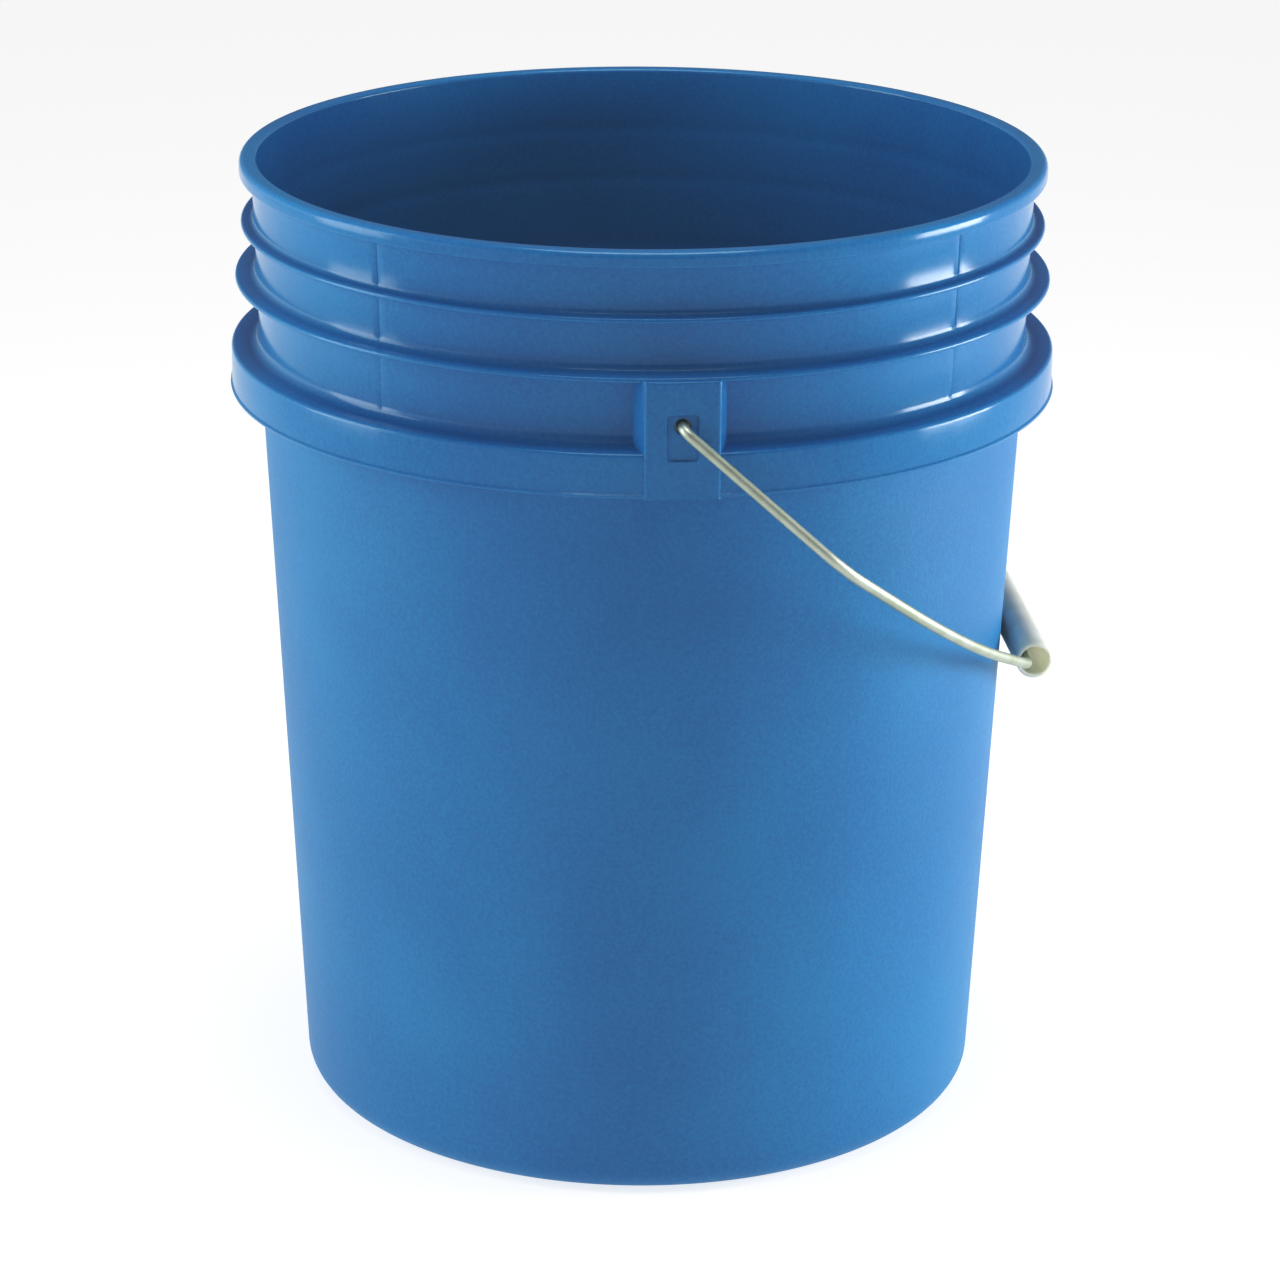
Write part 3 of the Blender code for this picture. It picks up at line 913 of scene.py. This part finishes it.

# %% [markdown]
# ## Zinc-plated wire
#
# Drawn wire carries fine lines along its length, which this finish does not draw: it gives the
# surface only fine specks and soft patches. The thin zinc over it has a slight yellow cast that comes
# and goes. Metal takes its colour from its reflections, so the base colour stays pale and the
# roughness does most of the work.

# %% Zinc
def zinc():
    material, shader, start = new_finish("zinc-plated wire")
    place = place_on(start)
    patch = noise(place, 0.010, detail=4.0)
    speck = noise(place, 0.0009, detail=2.0)
    pale = colour(0.50, 0.55, 0.48)
    yellow = colour(0.42, 0.48, 0.38)
    base = patch.step(0.35, 0.65).mix_colours(pale, yellow)
    roughness = 0.38 + speck * 0.14 + patch * 0.08
    heights = speck * 0.00002 + patch * 0.00004
    finish_with(shader, start, {
        "Base Color": base,
        "Roughness": roughness,
        "Normal": bump(heights),
    })
    shader.inputs["Metallic"].default_value = 1.0
    return material


wire.data.materials.append(zinc())
print("wire finish:", len(wire.data.materials[0].node_tree.nodes), "nodes")

# %% [markdown]
# ## Natural plastic
#
# The grip has no pigment, so light sinks in and comes out again a little further on, and the blue of
# the bucket shows through it faintly. Subsurface scattering gives that without any real glass.

# %% Natural plastic
def natural_plastic():
    material, shader, start = new_finish("natural plastic")
    place = place_on(start)
    cloud = noise(place, 0.014, detail=3.0)
    drawn = noise(place, 0.0008, detail=2.0, stretch=(1.0, 40.0, 1.0))
    white = colour(0.72, 0.74, 0.66)
    warm = colour(0.64, 0.65, 0.54)
    base = cloud.step(0.3, 0.7).mix_colours(white, warm)
    roughness = 0.34 + cloud * 0.14
    heights = drawn * 0.00004
    finish_with(shader, start, {
        "Base Color": base,
        "Roughness": roughness,
        "Normal": bump(heights),
    })
    shader.inputs["Subsurface Weight"].default_value = 0.9
    shader.inputs["Subsurface Radius"].default_value = (1.0, 1.0, 0.8)
    shader.inputs["Subsurface Scale"].default_value = 0.006
    return material


grip.data.materials.append(natural_plastic())
print("grip finish:", len(grip.data.materials[0].node_tree.nodes), "nodes")

# %% [markdown]
# ## Tying each piece to its moving body
#
# The pieces made here stand for the plain ones of the working model, and each moves with the body
# that carries it. Parenting by hand would do the same, but one call for each keeps its place exact.

# %% Ride and replace
for piece, node, body, slot in (
    (pail, "pail", "pail", "pail_plastic"),
    (wire, "bail_wire", "bail", "zinc_wire"),
    (grip, "grip", "grip", "grip_plastic"),
):
    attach(piece, body)
    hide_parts(node)
    print(piece.name, "rides on", body, "and replaces", node)

# %% [markdown]
# ## Floor and light
#
# The bucket stands on a lit table: white acrylic with lamps under it, so that the ground goes pure
# white and the shadow almost vanishes. A bright plane with strong lamps over it would burn out the
# rim first, so the floor here glows a little, and the rest of its light comes from above.

# %% Floor
FLOOR_SIZE = 30.0
FLOOR_TONE = 0.35
FLOOR_GLOW = 0.77


def make_floor():
    shape = bmesh.new()
    bmesh.ops.create_grid(shape, x_segments=1, y_segments=1, size=FLOOR_SIZE / 2)
    floor = finished(shape, "floor")
    material, shader, start = new_finish("pale floor")
    shader.inputs["Base Color"].default_value = colour(FLOOR_TONE, FLOOR_TONE, FLOOR_TONE)
    shader.inputs["Roughness"].default_value = 1.0
    shader.inputs["Specular IOR Level"].default_value = 0.0
    shader.inputs["Emission Color"].default_value = colour(1.0, 1.0, 1.0)
    shader.inputs["Emission Strength"].default_value = FLOOR_GLOW
    floor.data.materials.append(material)
    return floor


print("floor:", list(make_floor().dimensions))

# %% [markdown]
# Round things show their form when the light comes from the sides. The sky is five soft lobes, one
# for each way that light can come down, and the one in front is left dark: that is what makes the
# middle of the bucket deeper in tone than its flanks. The camera itself sees a plain white sky.

# %% Sky
SKY_LEFT = 2.50
SKY_RIGHT = 1.40
SKY_BACK = 0.15
SKY_TOP = 0.50


def make_sky():
    world = bpy.data.worlds.new("studio")
    world.use_nodes = True
    start = Signal(world.node_tree)
    direction = start.node("ShaderNodeTexCoord", output="Generated")
    split = {"Vector": direction}
    x = start.node("ShaderNodeSeparateXYZ", None, split, output="X")
    y = start.node("ShaderNodeSeparateXYZ", None, split, output="Y")
    z = start.node("ShaderNodeSeparateXYZ", None, split, output="Z")

    def lobe(along):
        ahead = along.at_least(0.0)
        return ahead * ahead

    low = 1 - z.at_least(0.0)
    sides = lobe(0 - x) * SKY_LEFT + lobe(x) * SKY_RIGHT
    sky = sides * low * low + lobe(y) * SKY_BACK + lobe(z) * SKY_TOP
    seen = start.node("ShaderNodeLightPath", output="Is Camera Ray")
    strength = seen + (1 - seen) * sky
    background = world.node_tree.nodes["Background"]
    background.inputs["Color"].default_value = colour(1.0, 1.0, 1.0)
    world.node_tree.links.new(strength.output, background.inputs["Strength"])
    bpy.context.scene.world = world


make_sky()
print("sky:", len(bpy.context.scene.world.node_tree.nodes), "nodes")

# %% [markdown]
# Two soft boxes stand a little clear of the table, one each side. A glossy wall seen from above
# mirrors what is low, so boxes that start at this height show in the hollow curves and on the beads
# and only just reach the flat necks between them. The right one is short: it lights the flank but
# does not shine over the rim, so the inside stays deep in tone.

# %% Soft boxes
BOX_WIDTH = 0.45
BOX_LOW = 0.13
BOX_DISTANCE = 1.0
SIDE_BOXES = (
    ("left box", -88.0, 0.85, 4.8),
    ("right box", 84.0, 0.40, 8.5),
)


def soft_box(name, azimuth, tall, power):
    data = bpy.data.lights.new(name, "AREA")
    data.shape = "RECTANGLE"
    data.size = BOX_WIDTH
    data.size_y = tall
    data.energy = power
    light = bpy.data.objects.new(name, data)
    turn = math.radians(azimuth)
    away = Vector((math.sin(turn), -math.cos(turn), 0.0))
    light.location = away * BOX_DISTANCE + Vector((0.0, 0.0, BOX_LOW + tall / 2))
    light.rotation_euler = (-away).to_track_quat("-Z", "Y").to_euler()
    bpy.context.scene.collection.objects.link(light)
    return light


for name, azimuth, tall, power in SIDE_BOXES:
    box = soft_box(name, azimuth, tall, power)
    print(name, "at", [round(value, 2) for value in box.location])

# %% [markdown]
# A third box hangs overhead. It brightens the top of the rim, the ribs and the skirt's edge, and
# leaves the hollows under them and the inside of the bucket dark, which is what separates them.

# %% Top box
TOP_SIZE = 0.70
TOP_LEVEL = 1.50
TOP_FORWARD = -0.15
TOP_POWER = 8.5


def top_box():
    data = bpy.data.lights.new("top box", "AREA")
    data.shape = "SQUARE"
    data.size = TOP_SIZE
    data.energy = TOP_POWER
    light = bpy.data.objects.new("top box", data)
    light.location = (0.0, TOP_FORWARD, TOP_LEVEL)
    bpy.context.scene.collection.objects.link(light)
    return light


print("top box at", list(top_box().location))

# %% [markdown]
# The picture is shown with a plain transform and a gentle contrast curve. A film-like transform
# would also hold back the white table, and a plain curve leaves it white.

# %% Contrast
CURVE_FOOT = (0.0, 0.0105)
CURVE_BENDS = ((0.035, 0.030), (0.10, 0.070), (0.30, 0.257), (0.65, 0.62))

view = bpy.context.scene.view_settings
view.view_transform = "Standard"
view.use_curve_mapping = True
curve = view.curve_mapping.curves[3]
curve.points[0].location = CURVE_FOOT
for place, value in CURVE_BENDS:
    curve.points.new(place, value)
view.curve_mapping.update()
print("contrast curve:", len(curve.points), "points")
